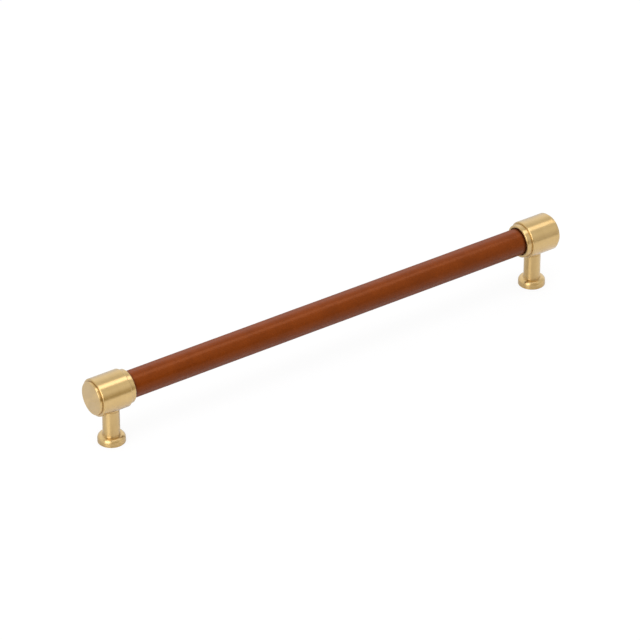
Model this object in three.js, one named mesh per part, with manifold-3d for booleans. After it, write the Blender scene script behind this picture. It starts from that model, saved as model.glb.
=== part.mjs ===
// Leather-wrapped bar pull for a cabinet door or drawer front, in millimetres.
// The bar runs along X, +Z points away from the cabinet face, and the origin lies on that face
// midway between the two feet.
import * as THREE from "three";
import { mergeVertices } from "three/addons/utils/BufferGeometryUtils.js";
import Module from "manifold-3d";

// Driving dimensions of the whole pull
const HOLE_CENTRES = 256;
const BAR_AXIS_HEIGHT = 27.8;

// Driving dimensions of the tube and the leather glued round it
const TUBE_DIAMETER = 11;
const TUBE_WALL = 1;
const TUBE_END_CHAMFER = 0.25;
const LEATHER_THICKNESS = 1.35;
const LEATHER_EDGE_ROUND = 0.4;
const SEAM_GAP = 0.3;
const SEAM_EDGE_ROUND = 0.35;

// Driving dimensions of the turned barrel, lengths measured along the bar from the post's axis
const BARREL_DIAMETER = 19.4;
const BARREL_OUTER_REACH = 9.5;
const BARREL_INNER_REACH = 6.9;
const BARREL_EDGE_ROUND = 0.6;
const COLLAR_DIAMETER = 17.3;
const COLLAR_LENGTH = 2.8;
const COLLAR_EDGE_ROUND = 0.7;
const MOUTH_LIP_ROUND = 0.2;
const LEATHER_ENTRY = 2.2;

// Driving dimensions of the cap that closes the barrel's outer end
const CAP_DIAMETER = 16.9;
const CAP_HEAD_THICKNESS = 1.4;
const CAP_EDGE_ROUND = 0.4;
const CAP_SPIGOT_LENGTH = 3.5;
const CAP_SPIGOT_CHAMFER = 0.4;

// Driving dimensions of the post, one turned piece of stem and foot
const STEM_DIAMETER = 8.6;
const STEM_LET_IN = 1.5;
const STEM_TOP_CHAMFER = 0.2;
const STEM_FILLET = 0.4;
const FOOT_DIAMETER = 13.9;
const FOOT_HEIGHT = 4.05;
const FOOT_RIM_ROUND = 2;
const FOOT_BASE_CHAMFER = 0.15;

// Driving dimensions of the tapped hole for the mounting screw, to the thread's outer diameter
const SCREW_HOLE_DIAMETER = 4;
const SCREW_HOLE_DEPTH = 9;
const SCREW_HOLE_COUNTERSINK = 0.35;

// Driving dimensions of the set screw that joins post, barrel and tube
const STUD_DIAMETER = 5;
const STUD_IN_POST = 5.5;
const STUD_PAST_TUBE_WALL = 0.8;
const STUD_CHAMFER = 0.6;
const STUD_KEY_ACROSS_FLATS = 2.5;
const STUD_KEY_DEPTH = 2.4;

// Clearances
const FIT = 0.05;
const MOUTH_GAP = 0.5;
const END_GAP = 0.3;

// How finely round forms are faceted
const BAR_SEGMENTS = 60;
const POST_SEGMENTS = 40;
const STUD_SEGMENTS = 24;
const EDGE_STEPS = 3;

// Tools cut this far past the surface they enter by
const OVERCUT = 1;
const DRILL_POINT_ANGLE = THREE.MathUtils.degToRad(118);

// Sizes that follow from the driving dimensions
const tubeRadius = TUBE_DIAMETER / 2;
const tubeBoreRadius = tubeRadius - TUBE_WALL;
const leatherInnerRadius = tubeRadius + FIT;
const leatherRadius = leatherInnerRadius + LEATHER_THICKNESS;
const barrelRadius = BARREL_DIAMETER / 2;
const collarRadius = COLLAR_DIAMETER / 2;
const tubeSeatRadius = tubeRadius + FIT;
const mouthRadius = leatherRadius + MOUTH_GAP;
const collarEnd = BARREL_INNER_REACH + COLLAR_LENGTH;
const mouthFloor = collarEnd - LEATHER_ENTRY - END_GAP;
const capRadius = CAP_DIAMETER / 2;
const spigotRadius = tubeSeatRadius - FIT;
const spigotEnd = BARREL_OUTER_REACH - CAP_SPIGOT_LENGTH;
const tubeHalfLength = HOLE_CENTRES / 2 + spigotEnd - END_GAP;
const leatherHalfLength = HOLE_CENTRES / 2 - collarEnd + LEATHER_ENTRY;
const stemRadius = STEM_DIAMETER / 2;
const stemSeatRadius = stemRadius + FIT;
const footRadius = FOOT_DIAMETER / 2;
const stemTop = BAR_AXIS_HEIGHT - barrelRadius + STEM_LET_IN;
const screwHoleRadius = SCREW_HOLE_DIAMETER / 2;
const studRadius = STUD_DIAMETER / 2;
const studHoleRadius = studRadius + FIT;
const studBottom = stemTop - STUD_IN_POST;
const studTop = BAR_AXIS_HEIGHT - tubeBoreRadius + STUD_PAST_TUBE_WALL;

const brass = new THREE.MeshStandardMaterial({
  name: "satin brass",
  color: 0xc9a566,
  roughness: 0.32,
  metalness: 1,
});
const leather = new THREE.MeshStandardMaterial({
  name: "saddle leather",
  color: 0x7a3a18,
  roughness: 0.45,
  metalness: 0,
});
const tubeSteel = new THREE.MeshStandardMaterial({
  name: "tube steel",
  color: 0x9a9ca0,
  roughness: 0.4,
  metalness: 1,
});
const studSteel = new THREE.MeshStandardMaterial({
  name: "set screw steel",
  color: 0x4a4b50,
  roughness: 0.5,
  metalness: 1,
});

const wasm = await Module();
wasm.setup();

// A closed three.js geometry as a manifold-3d solid.
function toSolid(geometry) {
  const bare = new THREE.BufferGeometry();
  bare.setAttribute("position", geometry.getAttribute("position"));
  bare.setIndex(geometry.getIndex());
  const merged = mergeVertices(bare, 1e-4);
  const mesh = new wasm.Mesh({
    numProp: 3,
    vertProperties: merged.getAttribute("position").array,
    triVerts: new Uint32Array(merged.getIndex().array),
  });
  return new wasm.Manifold(mesh);
}

// A body with every tool's volume taken away from it.
function cut(body, ...tools) {
  let solid = toSolid(body);
  for (const tool of tools) {
    solid = solid.subtract(toSolid(tool));
  }
  const { vertProperties, triVerts } = solid.getMesh();
  const geometry = new THREE.BufferGeometry();
  geometry.setAttribute("position", new THREE.BufferAttribute(vertProperties, 3));
  geometry.setIndex(new THREE.BufferAttribute(triVerts, 1));
  geometry.computeVertexNormals();
  return geometry;
}

// Points of a quarter round with the given centre, from one angle in degrees to another.
function quarterRound(centreRadius, centreHeight, radius, fromAngle, toAngle) {
  const points = [];
  for (let step = 0; step <= EDGE_STEPS; step += 1) {
    const angle = THREE.MathUtils.degToRad(
      THREE.MathUtils.lerp(fromAngle, toAngle, step / EDGE_STEPS),
    );
    points.push([
      centreRadius + radius * Math.cos(angle),
      centreHeight + radius * Math.sin(angle),
    ]);
  }
  return points;
}

// Depth of the cone that a drill of this radius leaves at the bottom of a blind hole.
function drillPoint(radius) {
  return radius / Math.tan(DRILL_POINT_ANGLE / 2);
}

// A turned solid standing on Z. The profile's points are [radius, height].
function turnedUpright(profile, segments) {
  const points = profile.map(([radius, height]) => new THREE.Vector2(radius, height));
  return new THREE.LatheGeometry(points, segments).rotateX(Math.PI / 2);
}

// A turned solid lying on the bar's axis. The profile's points are [radius, place along +X].
function turnedAlongBar(profile, segments) {
  return turnedUpright(profile, segments)
    .rotateY(Math.PI / 2)
    .translate(0, 0, BAR_AXIS_HEIGHT);
}

// A plain upright cylinder between two heights, used as a drill.
function uprightDrill(radius, low, high, segments) {
  const profile = [
    [0, low],
    [radius, low],
    [radius, high],
    [0, high],
  ];
  return turnedUpright(profile, segments);
}

function namedMesh(name, geometry, material) {
  const mesh = new THREE.Mesh(geometry, material);
  mesh.name = name;
  return mesh;
}

// Drill through the underside of the tube and the barrel's bore, on a post's axis.
function studHole(low) {
  return uprightDrill(studHoleRadius, low, BAR_AXIS_HEIGHT, STUD_SEGMENTS);
}

// Steel tube that carries the load between the two barrels, cross-drilled for the set screws.
function makeCoreTube() {
  const chamferStart = tubeHalfLength - TUBE_END_CHAMFER;
  const profile = [
    [tubeBoreRadius, -tubeHalfLength],
    [tubeRadius - TUBE_END_CHAMFER, -tubeHalfLength],
    [tubeRadius, -chamferStart],
    [tubeRadius, chamferStart],
    [tubeRadius - TUBE_END_CHAMFER, tubeHalfLength],
    [tubeBoreRadius, tubeHalfLength],
    [tubeBoreRadius, -tubeHalfLength],
  ];
  const tube = turnedAlongBar(profile, BAR_SEGMENTS);
  const low = BAR_AXIS_HEIGHT - tubeRadius - OVERCUT;
  const leftHole = studHole(low).translate(-HOLE_CENTRES / 2, 0, 0);
  const rightHole = studHole(low).translate(HOLE_CENTRES / 2, 0, 0);
  return namedMesh("core_tube", cut(tube, leftHole, rightHole), tubeSteel);
}

// Knife that parts the leather along its underside and rounds the two edges that meet there.
function seamKnife() {
  const halfGap = SEAM_GAP / 2;
  const halfWidth = halfGap + SEAM_EDGE_ROUND;
  const surfaceDepth = Math.sqrt(leatherRadius ** 2 - halfWidth ** 2);
  const flank = [
    [halfGap, OVERCUT - leatherInnerRadius],
    ...quarterRound(halfWidth, SEAM_EDGE_ROUND - surfaceDepth, SEAM_EDGE_ROUND, 180, 270),
    [halfWidth, -leatherRadius - OVERCUT],
  ];
  const otherFlank = flank.map(([across, height]) => [-across, height]).reverse();
  const outline = [...flank, ...otherFlank].map(([x, y]) => new THREE.Vector2(x, y));
  const length = 2 * (leatherHalfLength + OVERCUT);
  return new THREE.ExtrudeGeometry(new THREE.Shape(outline), { depth: length, bevelEnabled: false })
    .translate(0, 0, -length / 2)
    .rotateX(Math.PI / 2)
    .rotateZ(Math.PI / 2)
    .translate(0, 0, BAR_AXIS_HEIGHT);
}

// Leather wrapped round the tube, its edges meeting in a butt seam on the underside.
function makeLeatherSleeve() {
  const roundCentre = leatherRadius - LEATHER_EDGE_ROUND;
  const roundStart = leatherHalfLength - LEATHER_EDGE_ROUND;
  const profile = [
    [leatherInnerRadius, leatherHalfLength],
    [leatherInnerRadius, -leatherHalfLength],
    ...quarterRound(roundCentre, -roundStart, LEATHER_EDGE_ROUND, -90, 0),
    ...quarterRound(roundCentre, roundStart, LEATHER_EDGE_ROUND, 0, 90),
    [leatherInnerRadius, leatherHalfLength],
  ];
  const sleeve = turnedAlongBar(profile, BAR_SEGMENTS);
  return namedMesh("leather_sleeve", cut(sleeve, seamKnife()), leather);
}

// Turned barrel with its collar, bored through for the tube and cap, counterbored for the
// leather's end, and cross-drilled below for the stem and the set screw.
function makeBarrel(name) {
  const profile = [
    [tubeSeatRadius, BARREL_OUTER_REACH],
    [tubeSeatRadius, -mouthFloor],
    [mouthRadius, -mouthFloor],
    ...quarterRound(
      mouthRadius + MOUTH_LIP_ROUND,
      -collarEnd + MOUTH_LIP_ROUND,
      MOUTH_LIP_ROUND,
      180,
      270,
    ),
    ...quarterRound(
      collarRadius - COLLAR_EDGE_ROUND,
      -collarEnd + COLLAR_EDGE_ROUND,
      COLLAR_EDGE_ROUND,
      -90,
      0,
    ),
    [collarRadius, -BARREL_INNER_REACH],
    ...quarterRound(
      barrelRadius - BARREL_EDGE_ROUND,
      -BARREL_INNER_REACH + BARREL_EDGE_ROUND,
      BARREL_EDGE_ROUND,
      -90,
      0,
    ),
    ...quarterRound(
      barrelRadius - BARREL_EDGE_ROUND,
      BARREL_OUTER_REACH - BARREL_EDGE_ROUND,
      BARREL_EDGE_ROUND,
      0,
      90,
    ),
    [tubeSeatRadius, BARREL_OUTER_REACH],
  ];
  const body = turnedAlongBar(profile, BAR_SEGMENTS);
  const belowBarrel = BAR_AXIS_HEIGHT - barrelRadius - OVERCUT;
  const stemSeat = uprightDrill(stemSeatRadius, belowBarrel, stemTop, POST_SEGMENTS);
  return namedMesh(name, cut(body, stemSeat, studHole(belowBarrel)), brass);
}

// Turned cap: a low round-edged head that sits on the barrel's face, and a spigot in its bore.
function makeEndCap(name) {
  const headTop = BARREL_OUTER_REACH + CAP_HEAD_THICKNESS;
  const profile = [
    [0, spigotEnd],
    [spigotRadius - CAP_SPIGOT_CHAMFER, spigotEnd],
    [spigotRadius, spigotEnd + CAP_SPIGOT_CHAMFER],
    [spigotRadius, BARREL_OUTER_REACH],
    [capRadius, BARREL_OUTER_REACH],
    ...quarterRound(capRadius - CAP_EDGE_ROUND, headTop - CAP_EDGE_ROUND, CAP_EDGE_ROUND, 0, 90),
    [0, headTop],
  ];
  return namedMesh(name, turnedAlongBar(profile, BAR_SEGMENTS), brass);
}

// Turned post: foot and stem in one, with the mounting screw's hole below and the set screw's above.
function makePost(name) {
  const studHoleFloor = studBottom - END_GAP;
  const filletTop = FOOT_HEIGHT + STEM_FILLET;
  const profile = [
    [0, SCREW_HOLE_DEPTH + drillPoint(screwHoleRadius)],
    [screwHoleRadius, SCREW_HOLE_DEPTH],
    [screwHoleRadius, SCREW_HOLE_COUNTERSINK],
    [screwHoleRadius + SCREW_HOLE_COUNTERSINK, 0],
    [footRadius - FOOT_BASE_CHAMFER, 0],
    [footRadius, FOOT_BASE_CHAMFER],
    ...quarterRound(footRadius - FOOT_RIM_ROUND, FOOT_HEIGHT - FOOT_RIM_ROUND, FOOT_RIM_ROUND, 0, 90),
    ...quarterRound(stemRadius + STEM_FILLET, filletTop, STEM_FILLET, 270, 180),
    [stemRadius, stemTop - STEM_TOP_CHAMFER],
    [stemRadius - STEM_TOP_CHAMFER, stemTop],
    [studHoleRadius, stemTop],
    [studHoleRadius, studHoleFloor],
    [0, studHoleFloor - drillPoint(studHoleRadius)],
  ];
  return namedMesh(name, turnedUpright(profile, POST_SEGMENTS), brass);
}

// Headless set screw with a hexagon socket in its lower end.
function makeStud(name) {
  const profile = [
    [0, studBottom],
    [studRadius - STUD_CHAMFER, studBottom],
    [studRadius, studBottom + STUD_CHAMFER],
    [studRadius, studTop - STUD_CHAMFER],
    [studRadius - STUD_CHAMFER, studTop],
    [0, studTop],
  ];
  const body = turnedUpright(profile, STUD_SEGMENTS);
  const keyRadius = STUD_KEY_ACROSS_FLATS / Math.sqrt(3);
  const keySocket = uprightDrill(keyRadius, studBottom - OVERCUT, studBottom + STUD_KEY_DEPTH, 6);
  return namedMesh(name, cut(body, keySocket), studSteel);
}

// The four pieces of one end, made with +X pointing outwards from the bar.
function makeEndFitting(side) {
  const fitting = new THREE.Group();
  fitting.add(makeBarrel(`${side}_barrel`));
  fitting.add(makeEndCap(`${side}_end_cap`));
  fitting.add(makePost(`${side}_post`));
  fitting.add(makeStud(`${side}_stud`));
  return fitting;
}

const group = new THREE.Group();
group.name = "cabinet pull";
group.add(makeCoreTube());
group.add(makeLeatherSleeve());

const rightFitting = makeEndFitting("right");
rightFitting.position.x = HOLE_CENTRES / 2;
group.add(rightFitting);

// The left end is the same fitting turned half round, so that its cap faces the other way.
const leftFitting = makeEndFitting("left");
leftFitting.position.x = -HOLE_CENTRES / 2;
leftFitting.rotation.z = Math.PI;
group.add(leftFitting);

export default group;
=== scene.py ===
"""Looks of the leather-wrapped cabinet pull: turned satin brass, saddle leather and a white studio.

Lengths are written in millimetres and turned into Blender's metres by MM. The bar runs along X,
+Z points away from the cabinet's face, and the pull stands on its two feet at z = 0.
"""

import math

import bpy
from mathutils import Matrix, Vector, noise


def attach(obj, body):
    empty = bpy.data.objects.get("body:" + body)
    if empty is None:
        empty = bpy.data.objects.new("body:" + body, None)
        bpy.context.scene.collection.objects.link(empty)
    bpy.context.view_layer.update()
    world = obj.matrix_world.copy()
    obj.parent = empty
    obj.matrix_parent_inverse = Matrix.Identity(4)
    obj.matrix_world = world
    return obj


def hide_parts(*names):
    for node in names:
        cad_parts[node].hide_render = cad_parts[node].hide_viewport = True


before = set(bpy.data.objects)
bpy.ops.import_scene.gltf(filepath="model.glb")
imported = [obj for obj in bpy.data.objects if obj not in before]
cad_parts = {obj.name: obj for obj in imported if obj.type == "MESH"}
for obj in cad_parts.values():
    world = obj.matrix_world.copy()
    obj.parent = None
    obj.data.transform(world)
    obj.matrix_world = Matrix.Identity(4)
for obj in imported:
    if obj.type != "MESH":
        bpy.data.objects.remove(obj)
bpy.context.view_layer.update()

MM = 0.001

# The pull's sizes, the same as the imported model's
HOLE_CENTRES = 256.0
AXIS_HEIGHT = 27.8
TUBE_RADIUS = 5.5
FIT = 0.05
LEATHER_RADIUS = 6.9
LEATHER_EDGE_ROUND = 0.4
SEAM_GAP = 0.3
SEAM_EDGE_ROUND = 0.35
BARREL_RADIUS = 9.7
BARREL_OUTER_REACH = 9.5
BARREL_INNER_REACH = 6.9
BARREL_EDGE_ROUND = 0.6
COLLAR_RADIUS = 8.65
COLLAR_LENGTH = 2.8
COLLAR_EDGE_ROUND = 0.7
MOUTH_GAP = 0.5
MOUTH_LIP_ROUND = 0.2
LEATHER_ENTRY = 2.2
END_GAP = 0.3
CAP_RADIUS = 8.45
CAP_HEAD_THICKNESS = 1.4
CAP_EDGE_ROUND = 0.4
CAP_SPIGOT_LENGTH = 3.5
CAP_SPIGOT_CHAMFER = 0.4
STEM_RADIUS = 4.3
STEM_LET_IN = 1.5
STEM_TOP_CHAMFER = 0.2
STEM_FILLET = 0.4
FOOT_RADIUS = 6.95
FOOT_HEIGHT = 4.05
FOOT_RIM_ROUND = 2.0
FOOT_BASE_CHAMFER = 0.15
SCREW_HOLE_DEPTH = 9.0
SCREW_HOLE_COUNTERSINK = 0.35
THREAD_MAJOR_RADIUS = 2.0
THREAD_MINOR_RADIUS = 1.65
THREAD_PITCH = 0.7
STUD_HOLE_RADIUS = 2.55
STUD_HOLE_DEPTH = 5.8
DRILL_POINT_SLOPE = math.tan(math.radians(31))

TUBE_SEAT_RADIUS = TUBE_RADIUS + FIT
MOUTH_RADIUS = LEATHER_RADIUS + MOUTH_GAP
COLLAR_END = BARREL_INNER_REACH + COLLAR_LENGTH
MOUTH_FLOOR = COLLAR_END - LEATHER_ENTRY - END_GAP
STEM_TOP = AXIS_HEIGHT - BARREL_RADIUS + STEM_LET_IN
LEATHER_HALF_LENGTH = HOLE_CENTRES / 2 - COLLAR_END + LEATHER_ENTRY

# How finely the pieces are meshed
TURNED_SEGMENTS = 144
SEAT_SEGMENTS = 96
ROUND_STEPS = 8
BORE_STEP = 2.0
BARREL_STEP = 0.8
LEATHER_SEGMENTS = 120
LEATHER_ROUND_STEPS = 5
LEATHER_STEP = 0.8
THREAD_STEPS_PER_PITCH = 8
SHARP_ANGLE = 32.0
LEATHER_SHARP_ANGLE = 40.0

# How far the stem's seat tool reaches below the barrel
TOOL_MARGIN = 1.0

# How steep the thread's flanks are: over 1 leaves a little of the bore's wall between two turns
THREAD_SLOPE = 1.15

# The leather's unevenness: heights in millimetres, how fast it changes along and round the bar,
# the slice of the noise that the ripples take, and the share of the hide's width over which
# both fade out towards the seam
WAVE_HEIGHT = 0.03
WAVES_ALONG = 0.05
WAVES_ROUND = 1.2
RIPPLE_HEIGHT = 0.012
RIPPLES_ALONG = 0.4
RIPPLES_ROUND = 2.5
RIPPLE_PATTERN = 7.0
HELD_BY_SEAM = 0.125


def quarter_round(centre_radius, centre_height, radius, start, end, steps=ROUND_STEPS):
    """Points (radius, height) of an arc between two angles in degrees."""
    points = []
    for step in range(steps + 1):
        angle = math.radians(start + (end - start) * step / steps)
        points.append(
            (
                centre_radius + radius * math.cos(angle),
                centre_height + radius * math.sin(angle),
            )
        )
    return points


def with_rings(start, end, spacing):
    """Points from start to end, with more of them between so that no step is over the spacing."""
    length = math.dist(start, end)
    steps = max(1, math.ceil(length / spacing))
    return [
        tuple(a + (b - a) * step / steps for a, b in zip(start, end))
        for step in range(steps + 1)
    ]


def new_object(name, vertices, faces):
    mesh = bpy.data.meshes.new(name)
    mesh.from_pydata(vertices, [], faces)
    mesh.validate()
    obj = bpy.data.objects.new(name, mesh)
    bpy.context.scene.collection.objects.link(obj)
    return obj


def smooth_shaded(obj, sharp_angle=SHARP_ANGLE):
    obj.data.shade_smooth()
    obj.data.set_sharp_from_angle(angle=math.radians(sharp_angle))
    return obj


def turned(name, profile, place, segments=TURNED_SEGMENTS, radius_change=None):
    """A turned solid. place(radius, height, angle) gives a profile point's vertex in millimetres.

    The profile starts and ends on the axis, or closes on itself. radius_change(index, angle)
    gives what is added to the radius of one profile point at one angle.
    """
    closed = profile[0][0] > 0
    vertices = []
    rings = []
    for index, (radius, height) in enumerate(profile):
        if radius == 0:
            rings.append([len(vertices)] * segments)
            vertices.append(Vector(place(0, height, 0)) * MM)
            continue
        ring = []
        for segment in range(segments):
            angle = 2 * math.pi * segment / segments
            changed = radius + (radius_change(index, angle) if radius_change else 0)
            ring.append(len(vertices))
            vertices.append(Vector(place(changed, height, angle)) * MM)
        rings.append(ring)
    faces = []
    pairs = list(zip(rings, rings[1:]))
    if closed:
        pairs.append((rings[-1], rings[0]))
    for low, high in pairs:
        for segment in range(segments):
            following = (segment + 1) % segments
            corners = [low[segment], low[following], high[following], high[segment]]
            face = [c for i, c in enumerate(corners) if c != corners[i - 1]]
            if len(face) > 2:
                faces.append(face)
    return new_object(name, vertices, faces)


def along_bar(side):
    """Places turned points on the bar's axis, heights measured outwards from one post's axis."""

    def place(radius, height, angle):
        x = side * (HOLE_CENTRES / 2 + height)
        return x, side * radius * math.cos(angle), AXIS_HEIGHT + radius * math.sin(angle)

    return place


def upright(side):
    """Places turned points round one post's axis, heights measured from the cabinet's face."""

    def place(radius, height, angle):
        x = side * HOLE_CENTRES / 2 + radius * math.cos(angle)
        return x, radius * math.sin(angle), height

    return place


def cut_away(obj, tool):
    """Takes the tool's volume away from obj and deletes the tool."""
    modifier = obj.modifiers.new("cut", "BOOLEAN")
    modifier.operation = "DIFFERENCE"
    modifier.solver = "EXACT"
    modifier.object = tool
    evaluated = obj.evaluated_get(bpy.context.evaluated_depsgraph_get())
    mesh = bpy.data.meshes.new_from_object(evaluated)
    obj.modifiers.clear()
    before = obj.data
    obj.data = mesh
    bpy.data.meshes.remove(before)
    bpy.data.objects.remove(tool)


def outward_facing(obj):
    """Turns the faces round where the whole mesh came out inside out."""
    mesh = obj.data
    volume = 0.0
    for polygon in mesh.polygons:
        corners = [mesh.vertices[i].co for i in polygon.vertices]
        for second, third in zip(corners[1:], corners[2:]):
            volume += corners[0].dot(second.cross(third))
    if volume < 0:
        mesh.flip_normals()
    return obj


def make_barrel(side, name):
    edge = BARREL_EDGE_ROUND
    profile = [
        *with_rings(
            (TUBE_SEAT_RADIUS, BARREL_OUTER_REACH), (TUBE_SEAT_RADIUS, -MOUTH_FLOOR), BORE_STEP
        ),
        (MOUTH_RADIUS, -MOUTH_FLOOR),
        *quarter_round(
            MOUTH_RADIUS + MOUTH_LIP_ROUND, -COLLAR_END + MOUTH_LIP_ROUND, MOUTH_LIP_ROUND, 180, 270
        ),
        *quarter_round(
            COLLAR_RADIUS - COLLAR_EDGE_ROUND,
            -COLLAR_END + COLLAR_EDGE_ROUND,
            COLLAR_EDGE_ROUND,
            -90,
            0,
        ),
        (COLLAR_RADIUS, -BARREL_INNER_REACH),
        *quarter_round(BARREL_RADIUS - edge, -BARREL_INNER_REACH + edge, edge, -90, 0),
        *with_rings(
            (BARREL_RADIUS, -BARREL_INNER_REACH + edge),
            (BARREL_RADIUS, BARREL_OUTER_REACH - edge),
            BARREL_STEP,
        )[1:-1],
        *quarter_round(BARREL_RADIUS - edge, BARREL_OUTER_REACH - edge, edge, 0, 90),
    ]
    barrel = outward_facing(turned(name, profile, along_bar(side)))
    seat_radius = STEM_RADIUS + FIT
    below = AXIS_HEIGHT - BARREL_RADIUS - TOOL_MARGIN
    seat_profile = [
        (0, below),
        (seat_radius, below),
        (seat_radius, STEM_TOP),
        (STUD_HOLE_RADIUS, STEM_TOP),
        (STUD_HOLE_RADIUS, AXIS_HEIGHT),
        (0, AXIS_HEIGHT),
    ]
    seat = turned("stem_seat_tool", seat_profile, upright(side), segments=SEAT_SEGMENTS)
    cut_away(barrel, outward_facing(seat))
    return smooth_shaded(barrel)


def make_end_cap(side, name):
    head_top = BARREL_OUTER_REACH + CAP_HEAD_THICKNESS
    spigot_end = BARREL_OUTER_REACH - CAP_SPIGOT_LENGTH
    profile = [
        (0, spigot_end),
        (TUBE_RADIUS - CAP_SPIGOT_CHAMFER, spigot_end),
        (TUBE_RADIUS, spigot_end + CAP_SPIGOT_CHAMFER),
        (TUBE_RADIUS, BARREL_OUTER_REACH),
        (CAP_RADIUS, BARREL_OUTER_REACH),
        *quarter_round(CAP_RADIUS - CAP_EDGE_ROUND, head_top - CAP_EDGE_ROUND, CAP_EDGE_ROUND, 0, 90),
        (0, head_top),
    ]
    return smooth_shaded(outward_facing(turned(name, profile, along_bar(side))))


def mounting_bore():
    """Bore of the mounting hole from its floor to its mouth, as (radius, height) points."""
    top = SCREW_HOLE_DEPTH
    low = SCREW_HOLE_COUNTERSINK
    steps = round((top - low) / THREAD_PITCH * THREAD_STEPS_PER_PITCH)
    return [(THREAD_MAJOR_RADIUS, top + (low - top) * step / steps) for step in range(steps + 1)]


def make_post(side, name):
    bore = mounting_bore()
    stud_floor = STEM_TOP - STUD_HOLE_DEPTH
    fillet_top = FOOT_HEIGHT + STEM_FILLET
    rim_radius = FOOT_RADIUS - FOOT_RIM_ROUND
    profile = [
        (0, SCREW_HOLE_DEPTH + THREAD_MAJOR_RADIUS * DRILL_POINT_SLOPE),
        *bore,
        (THREAD_MAJOR_RADIUS + SCREW_HOLE_COUNTERSINK, 0),
        (FOOT_RADIUS - FOOT_BASE_CHAMFER, 0),
        (FOOT_RADIUS, FOOT_BASE_CHAMFER),
        *quarter_round(rim_radius, FOOT_HEIGHT - FOOT_RIM_ROUND, FOOT_RIM_ROUND, 0, 90),
        *quarter_round(STEM_RADIUS + STEM_FILLET, fillet_top, STEM_FILLET, 270, 180),
        (STEM_RADIUS, STEM_TOP - STEM_TOP_CHAMFER),
        (STEM_RADIUS - STEM_TOP_CHAMFER, STEM_TOP),
        (STUD_HOLE_RADIUS, STEM_TOP),
        (STUD_HOLE_RADIUS, stud_floor),
        (0, stud_floor - STUD_HOLE_RADIUS * DRILL_POINT_SLOPE),
    ]

    def thread(index, angle):
        """How far the thread stands in from the bore's wall, fading out at both of its ends."""
        if not 1 <= index <= len(bore):
            return 0
        height = profile[index][1]
        phase = (height / THREAD_PITCH - angle / (2 * math.pi)) % 1.0
        tooth = max(0.0, 1 - abs(2 * phase - 1) * THREAD_SLOPE)
        from_ends = min(height - SCREW_HOLE_COUNTERSINK, SCREW_HOLE_DEPTH - height)
        fade = min(1.0, max(0.0, from_ends / THREAD_PITCH))
        return (THREAD_MINOR_RADIUS - THREAD_MAJOR_RADIUS) * tooth * fade

    return smooth_shaded(outward_facing(turned(name, profile, upright(side), radius_change=thread)))


def arc_angles():
    """Angles of the points on one of the leather's rounded edges, without the first."""
    steps = LEATHER_ROUND_STEPS
    return [math.radians(90 * step / steps) for step in range(1, steps + 1)]


def leather_section():
    """The hide's outline as (angle from straight down, radius, how much of a wrinkle it takes)."""
    half_gap = SEAM_GAP / 2
    inner_radius = TUBE_RADIUS + FIT
    half_width = half_gap + SEAM_EDGE_ROUND
    outer_start = math.asin(half_width / LEATHER_RADIUS)
    surface = math.sqrt(LEATHER_RADIUS**2 - half_width**2)
    corner = [
        (math.atan2(across, depth), math.hypot(across, depth), 0.0)
        for across, depth in (
            (half_width - SEAM_EDGE_ROUND * math.sin(a), surface - SEAM_EDGE_ROUND * (1 - math.cos(a)))
            for a in arc_angles()
        )
    ]
    inner_start = math.asin(half_gap / inner_radius)
    outer = []
    for step in range(LEATHER_SEGMENTS + 1):
        share = step / LEATHER_SEGMENTS
        angle = outer_start + (2 * math.pi - 2 * outer_start) * share
        free = min(share, 1 - share) / HELD_BY_SEAM
        outer.append((angle, LEATHER_RADIUS, min(1.0, free)))
    far_corner = [(2 * math.pi - angle, radius, 0.0) for angle, radius, _ in corner]
    inner = []
    for step in range(LEATHER_SEGMENTS // 2 + 1):
        share = 1 - step / (LEATHER_SEGMENTS // 2)
        inner.append((inner_start + (2 * math.pi - 2 * inner_start) * share, inner_radius, 0.0))
    return outer + far_corner + inner + corner[::-1]


def make_leather(name):
    """The wrapped hide: a long C section, rounded at its ends, with a hand-wrapped unevenness."""
    section = leather_section()
    inner_radius = TUBE_RADIUS + FIT
    start = LEATHER_HALF_LENGTH - LEATHER_EDGE_ROUND
    stations = [
        (-start - LEATHER_EDGE_ROUND * math.sin(a), LEATHER_EDGE_ROUND * (1 - math.cos(a)))
        for a in reversed(arc_angles())
    ]
    straight = with_rings((-start, 0.0), (start, 0.0), LEATHER_STEP)
    stations = stations + straight + [(-x, inset) for x, inset in reversed(stations)]
    vertices = []
    for x, inset in stations:
        for angle, radius, free in section:
            waves = (math.cos(angle) * WAVES_ROUND, math.sin(angle) * WAVES_ROUND)
            wave = noise.noise(Vector((x * WAVES_ALONG, *waves))) * WAVE_HEIGHT * free
            ripples = Vector((x * RIPPLES_ALONG, angle * RIPPLES_ROUND, RIPPLE_PATTERN))
            ripple = noise.noise(ripples) * RIPPLE_HEIGHT * free
            r = max(inner_radius, radius - (inset if radius > inner_radius else 0) + wave + ripple)
            vertex = Vector((x, r * math.sin(angle), AXIS_HEIGHT - r * math.cos(angle)))
            vertices.append(vertex * MM)
    count = len(section)
    faces = []
    for station in range(len(stations) - 1):
        for point in range(count):
            following = (point + 1) % count
            a = station * count
            b = a + count
            faces.append((a + point, a + following, b + following, b + point))
    faces.append(tuple(range(count)))
    faces.append(tuple(reversed(range((len(stations) - 1) * count, len(stations) * count))))
    hide = outward_facing(new_object(name, vertices, faces))
    return smooth_shaded(hide, LEATHER_SHARP_ANGLE)


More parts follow.
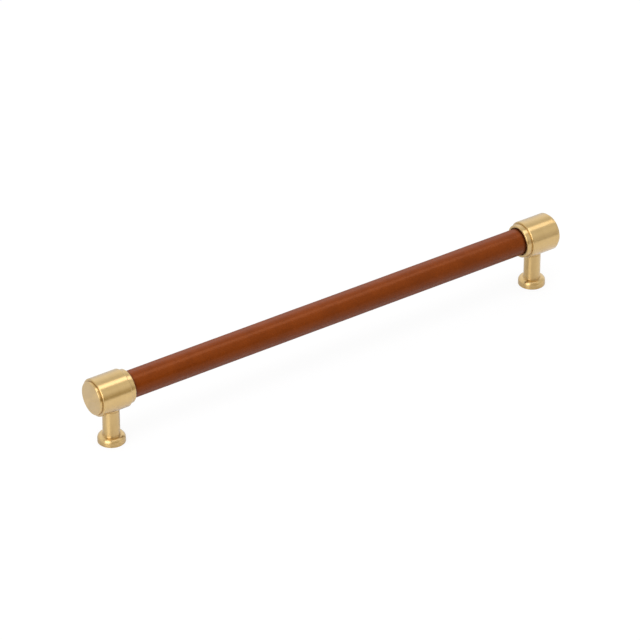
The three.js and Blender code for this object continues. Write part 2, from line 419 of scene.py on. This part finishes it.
class Nodes:
    """Small helper that adds and links the nodes of one material or world."""

    def __init__(self, tree):
        self.tree = tree
        tree.nodes.clear()

    def add(self, kind, inputs=None, **settings):
        node = self.tree.nodes.new(kind)
        for key, value in settings.items():
            setattr(node, key, value)
        for key, value in (inputs or {}).items():
            if isinstance(value, bpy.types.NodeSocket):
                self.tree.links.new(value, node.inputs[key])
            else:
                node.inputs[key].default_value = value
        return node

    def place(self):
        """The place on the object, in its own metres."""
        return self.add("ShaderNodeTexCoord").outputs["Object"]

    def axes(self, vector):
        return self.add("ShaderNodeSeparateXYZ", {0: vector}).outputs

    def math(self, operation, first, second=0.0):
        return self.add("ShaderNodeMath", {0: first, 1: second}, operation=operation).outputs[0]

    def ramp(self, value, low, high, to_low=0.0, to_high=1.0, kind="SMOOTHSTEP"):
        inputs = {"Value": value, 1: low, 2: high, 3: to_low, 4: to_high}
        node = self.add("ShaderNodeMapRange", inputs, interpolation_type=kind)
        return node.outputs["Result"]

    def noise(self, vector, scale, detail, roughness=0.5):
        inputs = {"Vector": vector, "Scale": scale, "Detail": detail, "Roughness": roughness}
        return self.add("ShaderNodeTexNoise", inputs).outputs[0]

    def blend(self, first, second, share):
        """The first's share of a number and the second's rest."""
        kept = self.math("MULTIPLY", first, share)
        return self.math("ADD", kept, self.math("MULTIPLY", second, 1 - share))

    def number(self, factor, first, second):
        """A number that goes from the first at factor 0 to the second at 1."""
        return self.add("ShaderNodeMix", {0: factor, 2: first, 3: second}).outputs[0]

    def colour(self, factor, first, second):
        """A colour that goes from the first at factor 0 to the second at 1."""
        inputs = {0: factor, 6: first, 7: second}
        return self.add("ShaderNodeMix", inputs, data_type="RGBA").outputs[2]

    def bump(self, height, strength, depth):
        """A relief that rises by depth millimetres where the height goes up by one."""
        inputs = {"Strength": strength, "Distance": depth * MM, "Height": height}
        return self.add("ShaderNodeBump", inputs).outputs[0]

    def emission(self, colour):
        return self.add("ShaderNodeEmission", {"Color": colour, "Strength": 1.0}).outputs[0]

    def either(self, share, first, second):
        """A surface that goes from the first shader at share 0 to the second at 1."""
        return self.add("ShaderNodeMixShader", {0: share, 1: first, 2: second}).outputs[0]


def new_material(name):
    material = bpy.data.materials.new(name)
    material.use_nodes = True
    return material, Nodes(material.node_tree)


# Between these levels of a noise, a tone or a roughness goes from one end of its range to the other
TONE_NOISE = (0.35, 0.65)
ROUGHNESS_NOISE = (0.3, 0.7)

# Satin brass: its tones and range of roughness, the scales per metre of its turned rings, across
# them and round them, and of its clouds, and the depth of the rings in millimetres
BRASS_LIGHT = (0.66, 0.455, 0.18, 1)
BRASS_DEEP = (0.6, 0.405, 0.15, 1)
BRASS_ROUGHNESS = (0.3, 0.35)
FINE_RINGS = (9000.0, 120.0)
COARSE_RINGS = (2400.0, 60.0)
RING_DEPTH = 0.006
BRASS_CLOUD_SCALE = 140.0

# Painted shade in the joints: there the brass is darkened towards this tone by these shares, fully up
# to the core and not at all beyond the reach, both in millimetres from the joint
BRASS_JOINT_SHADE = (0.36, 0.2, 0.045, 1)
JOINT_CORE = 0.15
JOINT_REACH = 0.6
CAP_JOINT_SHADE = 0.7
COLLAR_JOINT_SHADE = 0.35
STEM_JOINT_SHADE = 0.5


def turned_brass(name, axis):
    """Lacquered satin brass with the fine rings that turning leaves, turned about X or Z."""
    material, nodes = new_material(name)
    place = nodes.place()
    x, y, z = nodes.axes(place)
    if axis == "X":
        across = y
        other = nodes.math("SUBTRACT", z, AXIS_HEIGHT * MM)
        along = nodes.math("ABSOLUTE", x)
        joints = (
            (CAP_RADIUS, HOLE_CENTRES / 2 + BARREL_OUTER_REACH, CAP_JOINT_SHADE),
            (COLLAR_RADIUS, HOLE_CENTRES / 2 - BARREL_INNER_REACH, COLLAR_JOINT_SHADE),
        )
    else:
        across = nodes.math("SUBTRACT", nodes.math("ABSOLUTE", x), HOLE_CENTRES / 2 * MM)
        other = y
        along = z
        joints = (
            (STEM_RADIUS, FOOT_HEIGHT, STEM_JOINT_SHADE),
            (STEM_RADIUS, AXIS_HEIGHT - BARREL_RADIUS, STEM_JOINT_SHADE),
        )

    def distance(first, second):
        squares = [nodes.math("MULTIPLY", side, side) for side in (first, second)]
        return nodes.math("SQRT", nodes.math("ADD", *squares))

    radius = distance(across, other)
    ring = nodes.math("ADD", radius, along)

    def rings(across_scale, round_scale):
        """Noise that is fine across the rings and long round them."""
        stretched = {
            0: nodes.math("MULTIPLY", ring, across_scale),
            1: nodes.math("MULTIPLY", across, round_scale),
            2: nodes.math("MULTIPLY", other, round_scale),
        }
        vector = nodes.add("ShaderNodeCombineXYZ", stretched).outputs[0]
        return nodes.noise(vector, scale=1.0, detail=3.0)

    lines = nodes.blend(rings(*FINE_RINGS), rings(*COARSE_RINGS), share=0.5)
    clouds = nodes.noise(place, BRASS_CLOUD_SCALE, detail=4.0)
    tone = nodes.blend(lines, clouds, share=0.6)
    colour = nodes.colour(nodes.ramp(tone, *TONE_NOISE), BRASS_DEEP, BRASS_LIGHT)
    # Painted shade: the brass is darkened in the corners where two turned surfaces meet
    for joint_radius, joint_place, joint_shade in joints:
        from_joint = distance(
            nodes.math("SUBTRACT", radius, joint_radius * MM),
            nodes.math("SUBTRACT", along, joint_place * MM),
        )
        unshaded = nodes.ramp(from_joint, JOINT_CORE * MM, JOINT_REACH * MM, 1 - joint_shade, 1.0)
        colour = nodes.colour(unshaded, BRASS_JOINT_SHADE, colour)
    shader = nodes.add(
        "ShaderNodeBsdfPrincipled",
        {
            "Base Color": colour,
            "Metallic": 1.0,
            "Roughness": nodes.ramp(tone, *ROUGHNESS_NOISE, *BRASS_ROUGHNESS, kind="LINEAR"),
            "Anisotropic": 0.92,
            "Anisotropic Rotation": 0.25,
            "Tangent": nodes.add("ShaderNodeTangent", direction_type="RADIAL", axis=axis).outputs[0],
            "Normal": nodes.bump(lines, strength=0.3, depth=RING_DEPTH),
            "Coat Weight": 1.0,
            "Coat Roughness": 0.18,
            "Coat IOR": 1.5,
        },
    )
    nodes.add("ShaderNodeOutputMaterial", {"Surface": shader.outputs[0]})
    return material


# Saddle leather: its tones, the tone of its painted shade by the collars and how far that reaches in
# millimetres, its shine, its range of roughness, and what is added to that between two low angles as
# Layer Weight gives them
LEATHER_DARK = (0.12, 0.019, 0.0008, 1)
LEATHER_LIGHT = (0.165, 0.0285, 0.0015, 1)
LEATHER_COLLAR_SHADE = (0.05, 0.0075, 0.0008, 1)
COLLAR_SHADE_WIDTH = 1.8
LEATHER_SHINE = (1.0, 0.4, 0.15, 1)
LEATHER_ROUGHNESS = (0.22, 0.29)
LOW_ANGLES = (0.35, 0.75)
LOW_ANGLE_ROUGHNESS = 0.28
LEATHER_TONE_NOISE = (0.3, 0.68)

# The scales per metre of its patterns, the creases' height against that of the pores, and the
# depth of the whole relief in millimetres
MOTTLE_SCALE = 90.0
GRAIN_SCALE = 1700.0
PORE_SCALE = 2600.0
CREASE_SCALE = 650.0
CREASE_HEIGHT = 6.0
LEATHER_RELIEF = 0.04


def saddle_leather(name):
    """Smooth waxed leather: mottled dye, fine pores and creases, a soft satin shine."""
    material, nodes = new_material(name)
    place = nodes.place()
    mottle = nodes.noise(place, MOTTLE_SCALE, detail=5.0, roughness=0.6)
    cells = {"Vector": place, "Scale": GRAIN_SCALE, "Randomness": 1.0}
    grain = nodes.add("ShaderNodeTexVoronoi", cells).outputs["Distance"]
    pores = nodes.blend(grain, nodes.noise(place, PORE_SCALE, detail=3.0), share=0.6)
    tone = nodes.blend(mottle, pores, share=0.6)
    hide = nodes.colour(nodes.ramp(tone, *LEATHER_TONE_NOISE), LEATHER_DARK, LEATHER_LIGHT)
    # Painted shade: the hide darkens over the last stretch before the collars' mouths and stays dark
    # inside them
    from_middle = nodes.math("ABSOLUTE", nodes.axes(place)["X"])
    mouth = (HOLE_CENTRES / 2 - COLLAR_END) * MM
    collar_shade = nodes.ramp(from_middle, mouth - COLLAR_SHADE_WIDTH * MM, mouth)
    creases = nodes.noise(place, CREASE_SCALE, detail=2.0)
    relief = nodes.math("ADD", pores, nodes.math("MULTIPLY", creases, CREASE_HEIGHT))
    # The wax lies unevenly, so at a low angle the hide shines less sharply
    low_angle = nodes.add("ShaderNodeLayerWeight", {"Blend": 0.5}).outputs["Facing"]
    duller = nodes.ramp(low_angle, *LOW_ANGLES, 0.0, LOW_ANGLE_ROUGHNESS)
    satin = nodes.ramp(mottle, *ROUGHNESS_NOISE, *LEATHER_ROUGHNESS, kind="LINEAR")
    shader = nodes.add(
        "ShaderNodeBsdfPrincipled",
        {
            "Base Color": nodes.colour(collar_shade, hide, LEATHER_COLLAR_SHADE),
            "Roughness": nodes.math("ADD", satin, duller),
            "Normal": nodes.bump(relief, strength=0.35, depth=LEATHER_RELIEF),
            "IOR": 1.5,
            "Specular IOR Level": 0.5,
            "Specular Tint": LEATHER_SHINE,
        },
    )
    nodes.add("ShaderNodeOutputMaterial", {"Surface": shader.outputs[0]})
    return material


# Steel inside the pull: the drawn tube and the oxidised set screws, how dark its clouds get and
# how much rougher, their scale per metre, and the relief's depth in millimetres
TUBE_STEEL = (0.5, 0.51, 0.53)
TUBE_ROUGHNESS = 0.35
STUD_STEEL = (0.09, 0.09, 0.1)
STUD_ROUGHNESS = 0.45
STEEL_DARKEST = 0.8
STEEL_ROUGHER = 0.1
STEEL_CLOUD_SCALE = 400.0
STEEL_RELIEF = 0.01


def plain_steel(name, colour, roughness):
    """Drawn or oxidised steel, a little cloudy in tone, roughness and relief."""
    material, nodes = new_material(name)
    cloud = nodes.noise(nodes.place(), STEEL_CLOUD_SCALE, detail=5.0)
    darker = (*(STEEL_DARKEST * c for c in colour), 1)
    rough = (roughness, roughness + STEEL_ROUGHER)
    shader = nodes.add(
        "ShaderNodeBsdfPrincipled",
        {
            "Base Color": nodes.colour(nodes.ramp(cloud, *TONE_NOISE), darker, (*colour, 1)),
            "Metallic": 1.0,
            "Roughness": nodes.ramp(cloud, *ROUGHNESS_NOISE, *rough, kind="LINEAR"),
            "Normal": nodes.bump(cloud, strength=0.3, depth=STEEL_RELIEF),
        },
    )
    nodes.add("ShaderNodeOutputMaterial", {"Surface": shader.outputs[0]})
    return material


def finish_piece(obj, node, material):
    obj.data.materials.clear()
    obj.data.materials.append(material)
    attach(obj, "root")
    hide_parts(node)


def make_pull():
    brass_on_bar = turned_brass("brass turned about the bar", "X")
    brass_upright = turned_brass("brass turned about the post", "Z")
    for side, word in ((-1, "left"), (1, "right")):
        barrel = make_barrel(side, f"{word}_barrel_turned")
        finish_piece(barrel, f"{word}_barrel", brass_on_bar)
        cap = make_end_cap(side, f"{word}_end_cap_turned")
        finish_piece(cap, f"{word}_end_cap", brass_on_bar)
        post = make_post(side, f"{word}_post_turned")
        finish_piece(post, f"{word}_post", brass_upright)
    hide = make_leather("leather_wrap")
    finish_piece(hide, "leather_sleeve", saddle_leather("saddle leather"))
    tube_steel = plain_steel("drawn steel", TUBE_STEEL, TUBE_ROUGHNESS)
    stud_steel = plain_steel("oxidised steel", STUD_STEEL, STUD_ROUGHNESS)
    for node, steel in (
        ("core_tube", tube_steel),
        ("left_stud", stud_steel),
        ("right_stud", stud_steel),
    ):
        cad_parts[node].material_slots[0].material = steel


# The camera, as the photograph was taken
CAMERA_AZIMUTH = math.radians(-35.212)
CAMERA_ELEVATION = math.radians(31.545)
CAMERA_DISTANCE = 2095.2
CAMERA_FOCAL_PIXELS = 4221.5
IMAGE_WIDTH_PIXELS = 640
SENSOR_WIDTH = 36.0
TARGET_HEIGHT = 15.0
TARGET_RIGHT = -3.903
TARGET_UP = 6.767


def make_camera():
    level = math.cos(CAMERA_ELEVATION)
    back = Vector(
        (
            math.sin(CAMERA_AZIMUTH) * level,
            -math.cos(CAMERA_AZIMUTH) * level,
            math.sin(CAMERA_ELEVATION),
        )
    )
    right = Vector((math.cos(CAMERA_AZIMUTH), math.sin(CAMERA_AZIMUTH), 0))
    up = back.cross(right)
    target = Vector((0, 0, TARGET_HEIGHT)) + right * TARGET_RIGHT + up * TARGET_UP
    camera = bpy.data.cameras.new("camera")
    camera.sensor_fit = "HORIZONTAL"
    camera.sensor_width = SENSOR_WIDTH
    camera.lens = CAMERA_FOCAL_PIXELS / IMAGE_WIDTH_PIXELS * SENSOR_WIDTH
    camera.clip_start = 0.05
    camera.clip_end = 50
    obj = bpy.data.objects.new("camera", camera)
    bpy.context.scene.collection.objects.link(obj)
    obj.matrix_world = Matrix.Translation((target + back * CAMERA_DISTANCE) * MM) @ Matrix(
        (right, up, back)
    ).transposed().to_4x4()
    bpy.context.scene.camera = obj


# The white that reflections see of the surround, and how it changes with the angle round the bar:
# each change comes in between two angles, in degrees from level in front up over the top
REFLECTED_WHITE = 0.88
REFLECTED_CHANGES = ((42, 54, -0.06), (105, 137, 0.32), (145, 180, -0.3))

# The light that the surround gives: at the horizon, and what height and the back add to it
SKY_AT_HORIZON = 0.42
SKY_RISE = 1.15
SKY_RISE_BEHIND = 0.42


def make_surround():
    """Plain white to the camera; as light, brighter towards the top, the bottom and the back."""
    world = bpy.data.worlds.new("studio")
    bpy.context.scene.world = world
    world.use_nodes = True
    world.cycles.sampling_method = "NONE"
    nodes = Nodes(world.node_tree)
    _, y, z = nodes.axes(nodes.add("ShaderNodeTexCoord").outputs["Generated"])
    angle = nodes.math("ARCTAN2", z, nodes.math("MULTIPLY", y, -1.0))
    reflected = REFLECTED_WHITE
    for start, end, change in REFLECTED_CHANGES:
        step = nodes.ramp(angle, math.radians(start), math.radians(end), 0.0, change)
        reflected = nodes.math("ADD", reflected, step)
    upwards = nodes.math("MULTIPLY", nodes.math("ABSOLUTE", z), SKY_RISE)
    backwards = nodes.math("MULTIPLY", y, SKY_RISE_BEHIND)
    sky = nodes.math("ADD", nodes.math("ADD", upwards, backwards), SKY_AT_HORIZON)
    path = nodes.add("ShaderNodeLightPath").outputs
    lighting = nodes.number(path["Is Glossy Ray"], sky, reflected)
    seen = nodes.number(path["Is Camera Ray"], lighting, 1.0)
    background = nodes.add("ShaderNodeBackground", {"Color": (1, 1, 1, 1), "Strength": seen})
    nodes.add("ShaderNodeOutputWorld", {"Surface": background.outputs[0]})


# The floor, in metres as are the card and the lamps: its grey as light, to the camera and to
# reflections, and the share of plain white that the camera sees in it
FLOOR_SIZE = 6.0
FLOOR_COLOUR = 0.5
FLOOR_COLOUR_SEEN = 0.8
FLOOR_COLOUR_REFLECTED = 0.7
FLOOR_WHITENING = 0.88

# Painted shade that only reflections see: to them the floor is darker behind the bar, far in front,
# and beside the left foot on the outer side. Each fade is two places and its value at either: of the
# first two, the level that is left, and of the last two, which are multiplied, what is taken off.
FADE_BEHIND = (0.0, 0.02, 1.0, 0.78)
FADE_AHEAD = (-0.6, -0.15, 0.64, 1.0)
FADE_FROM_FOOT = (0.012, 0.025, 0.22, 0.0)
FADE_FROM_OUTER_SIDE = (-0.136, -0.13, 1.0, 0.0)


def make_floor():
    """A pale floor that keeps a faint shadow, whitened where the camera sees it."""
    half = FLOOR_SIZE / 2
    floor = new_object(
        "studio_floor",
        [(-half, -half, 0), (half, -half, 0), (half, half, 0), (-half, half, 0)],
        [(0, 1, 2, 3)],
    )
    material, nodes = new_material("studio white")
    place = nodes.place()
    x, y, _ = nodes.axes(place)
    left_foot = (-HOLE_CENTRES / 2 * MM, 0, 0)
    offset = nodes.add("ShaderNodeVectorMath", {0: place, 1: left_foot}, operation="DISTANCE")
    shade_beside_foot = nodes.math(
        "MULTIPLY",
        nodes.ramp(offset.outputs["Value"], *FADE_FROM_FOOT),
        nodes.ramp(x, *FADE_FROM_OUTER_SIDE),
    )
    # Painted shade for reflections: darker behind the bar, far in front and beside the left foot
    level = nodes.math("MULTIPLY", nodes.ramp(y, *FADE_BEHIND), nodes.ramp(y, *FADE_AHEAD))
    level = nodes.math("MULTIPLY", level, nodes.math("SUBTRACT", 1.0, shade_beside_foot))
    reflected = nodes.math("MULTIPLY", level, FLOOR_COLOUR_REFLECTED)
    path = nodes.add("ShaderNodeLightPath").outputs
    seen = nodes.number(path["Is Camera Ray"], FLOOR_COLOUR, FLOOR_COLOUR_SEEN)
    tone = nodes.number(path["Is Glossy Ray"], seen, reflected)
    grey = nodes.add("ShaderNodeCombineColor", {0: tone, 1: tone, 2: tone}).outputs[0]
    lit = nodes.add("ShaderNodeBsdfDiffuse", {"Color": grey}).outputs[0]
    whitened = nodes.math("MULTIPLY", path["Is Camera Ray"], FLOOR_WHITENING)
    surface = nodes.either(whitened, lit, nodes.emission((1, 1, 1, 1)))
    nodes.add("ShaderNodeOutputMaterial", {"Surface": surface})
    floor.data.materials.append(material)


# The dark card is at its darkest up to one height and out to where its fade starts, and it has
# faded away at its top and at its right
CARD_DISTANCE = 1.0
CARD_LEFT = -1.2
CARD_FADE_START = 0.28
CARD_RIGHT = 0.66
CARD_DARKEST = 0.17
CARD_TOP = 0.75
CARD_COLOUR = (0.34, 0.25, 0.09, 1)


def make_dark_card():
    """A card low in front of the left end, which only reflections see, with soft edges."""
    near = -CARD_DISTANCE
    card = new_object(
        "studio_dark_card",
        [
            (CARD_LEFT, near, 0),
            (CARD_RIGHT, near, 0),
            (CARD_RIGHT, near, CARD_TOP),
            (CARD_LEFT, near, CARD_TOP),
        ],
        [(0, 1, 2, 3)],
    )
    material, nodes = new_material("dark card")
    x, _, z = nodes.axes(nodes.place())
    upwards = nodes.ramp(z, CARD_DARKEST, CARD_TOP, 1.0, 0.0)
    sideways = nodes.ramp(x, CARD_FADE_START, CARD_RIGHT, 1.0, 0.0)
    clear = nodes.add("ShaderNodeBsdfTransparent").outputs[0]
    share = nodes.math("MULTIPLY", upwards, sideways)
    surface = nodes.either(share, clear, nodes.emission(CARD_COLOUR))
    nodes.add("ShaderNodeOutputMaterial", {"Surface": surface})
    card.data.materials.append(material)
    card.visible_camera = False
    card.visible_diffuse = False
    card.visible_shadow = False


def area_light(name, place, aim, width, height, radiance, colour=(1, 1, 1)):
    """A rectangular lamp that gives off the same radiance all over, turned towards aim."""
    light = bpy.data.lights.new(name, "AREA")
    light.color = colour
    light.shape = "RECTANGLE"
    light.size = width
    light.size_y = height
    light.energy = radiance * math.pi * width * height
    obj = bpy.data.objects.new(name, light)
    bpy.context.scene.collection.objects.link(obj)
    obj.location = place
    obj.rotation_euler = (Vector(aim) - Vector(place)).to_track_quat("-Z", "Y").to_euler()
    obj.visible_camera = False


def make_lamps():
    area_light(
        "overhead strip",
        place=(-0.14, -0.13, 0.75),
        aim=(-0.14, 0, 0.028),
        width=1.45,
        height=0.28,
        radiance=1.75,
        colour=(0.97, 0.94, 1.0),
    )
    area_light(
        "left softbox",
        place=(-0.93, -0.36, 0.4),
        aim=(0, 0, 0.02),
        width=0.7,
        height=0.8,
        radiance=2.6,
    )


bpy.context.scene.view_settings.view_transform = "Standard"
make_camera()
make_surround()
make_floor()
make_dark_card()
make_lamps()
make_pull()
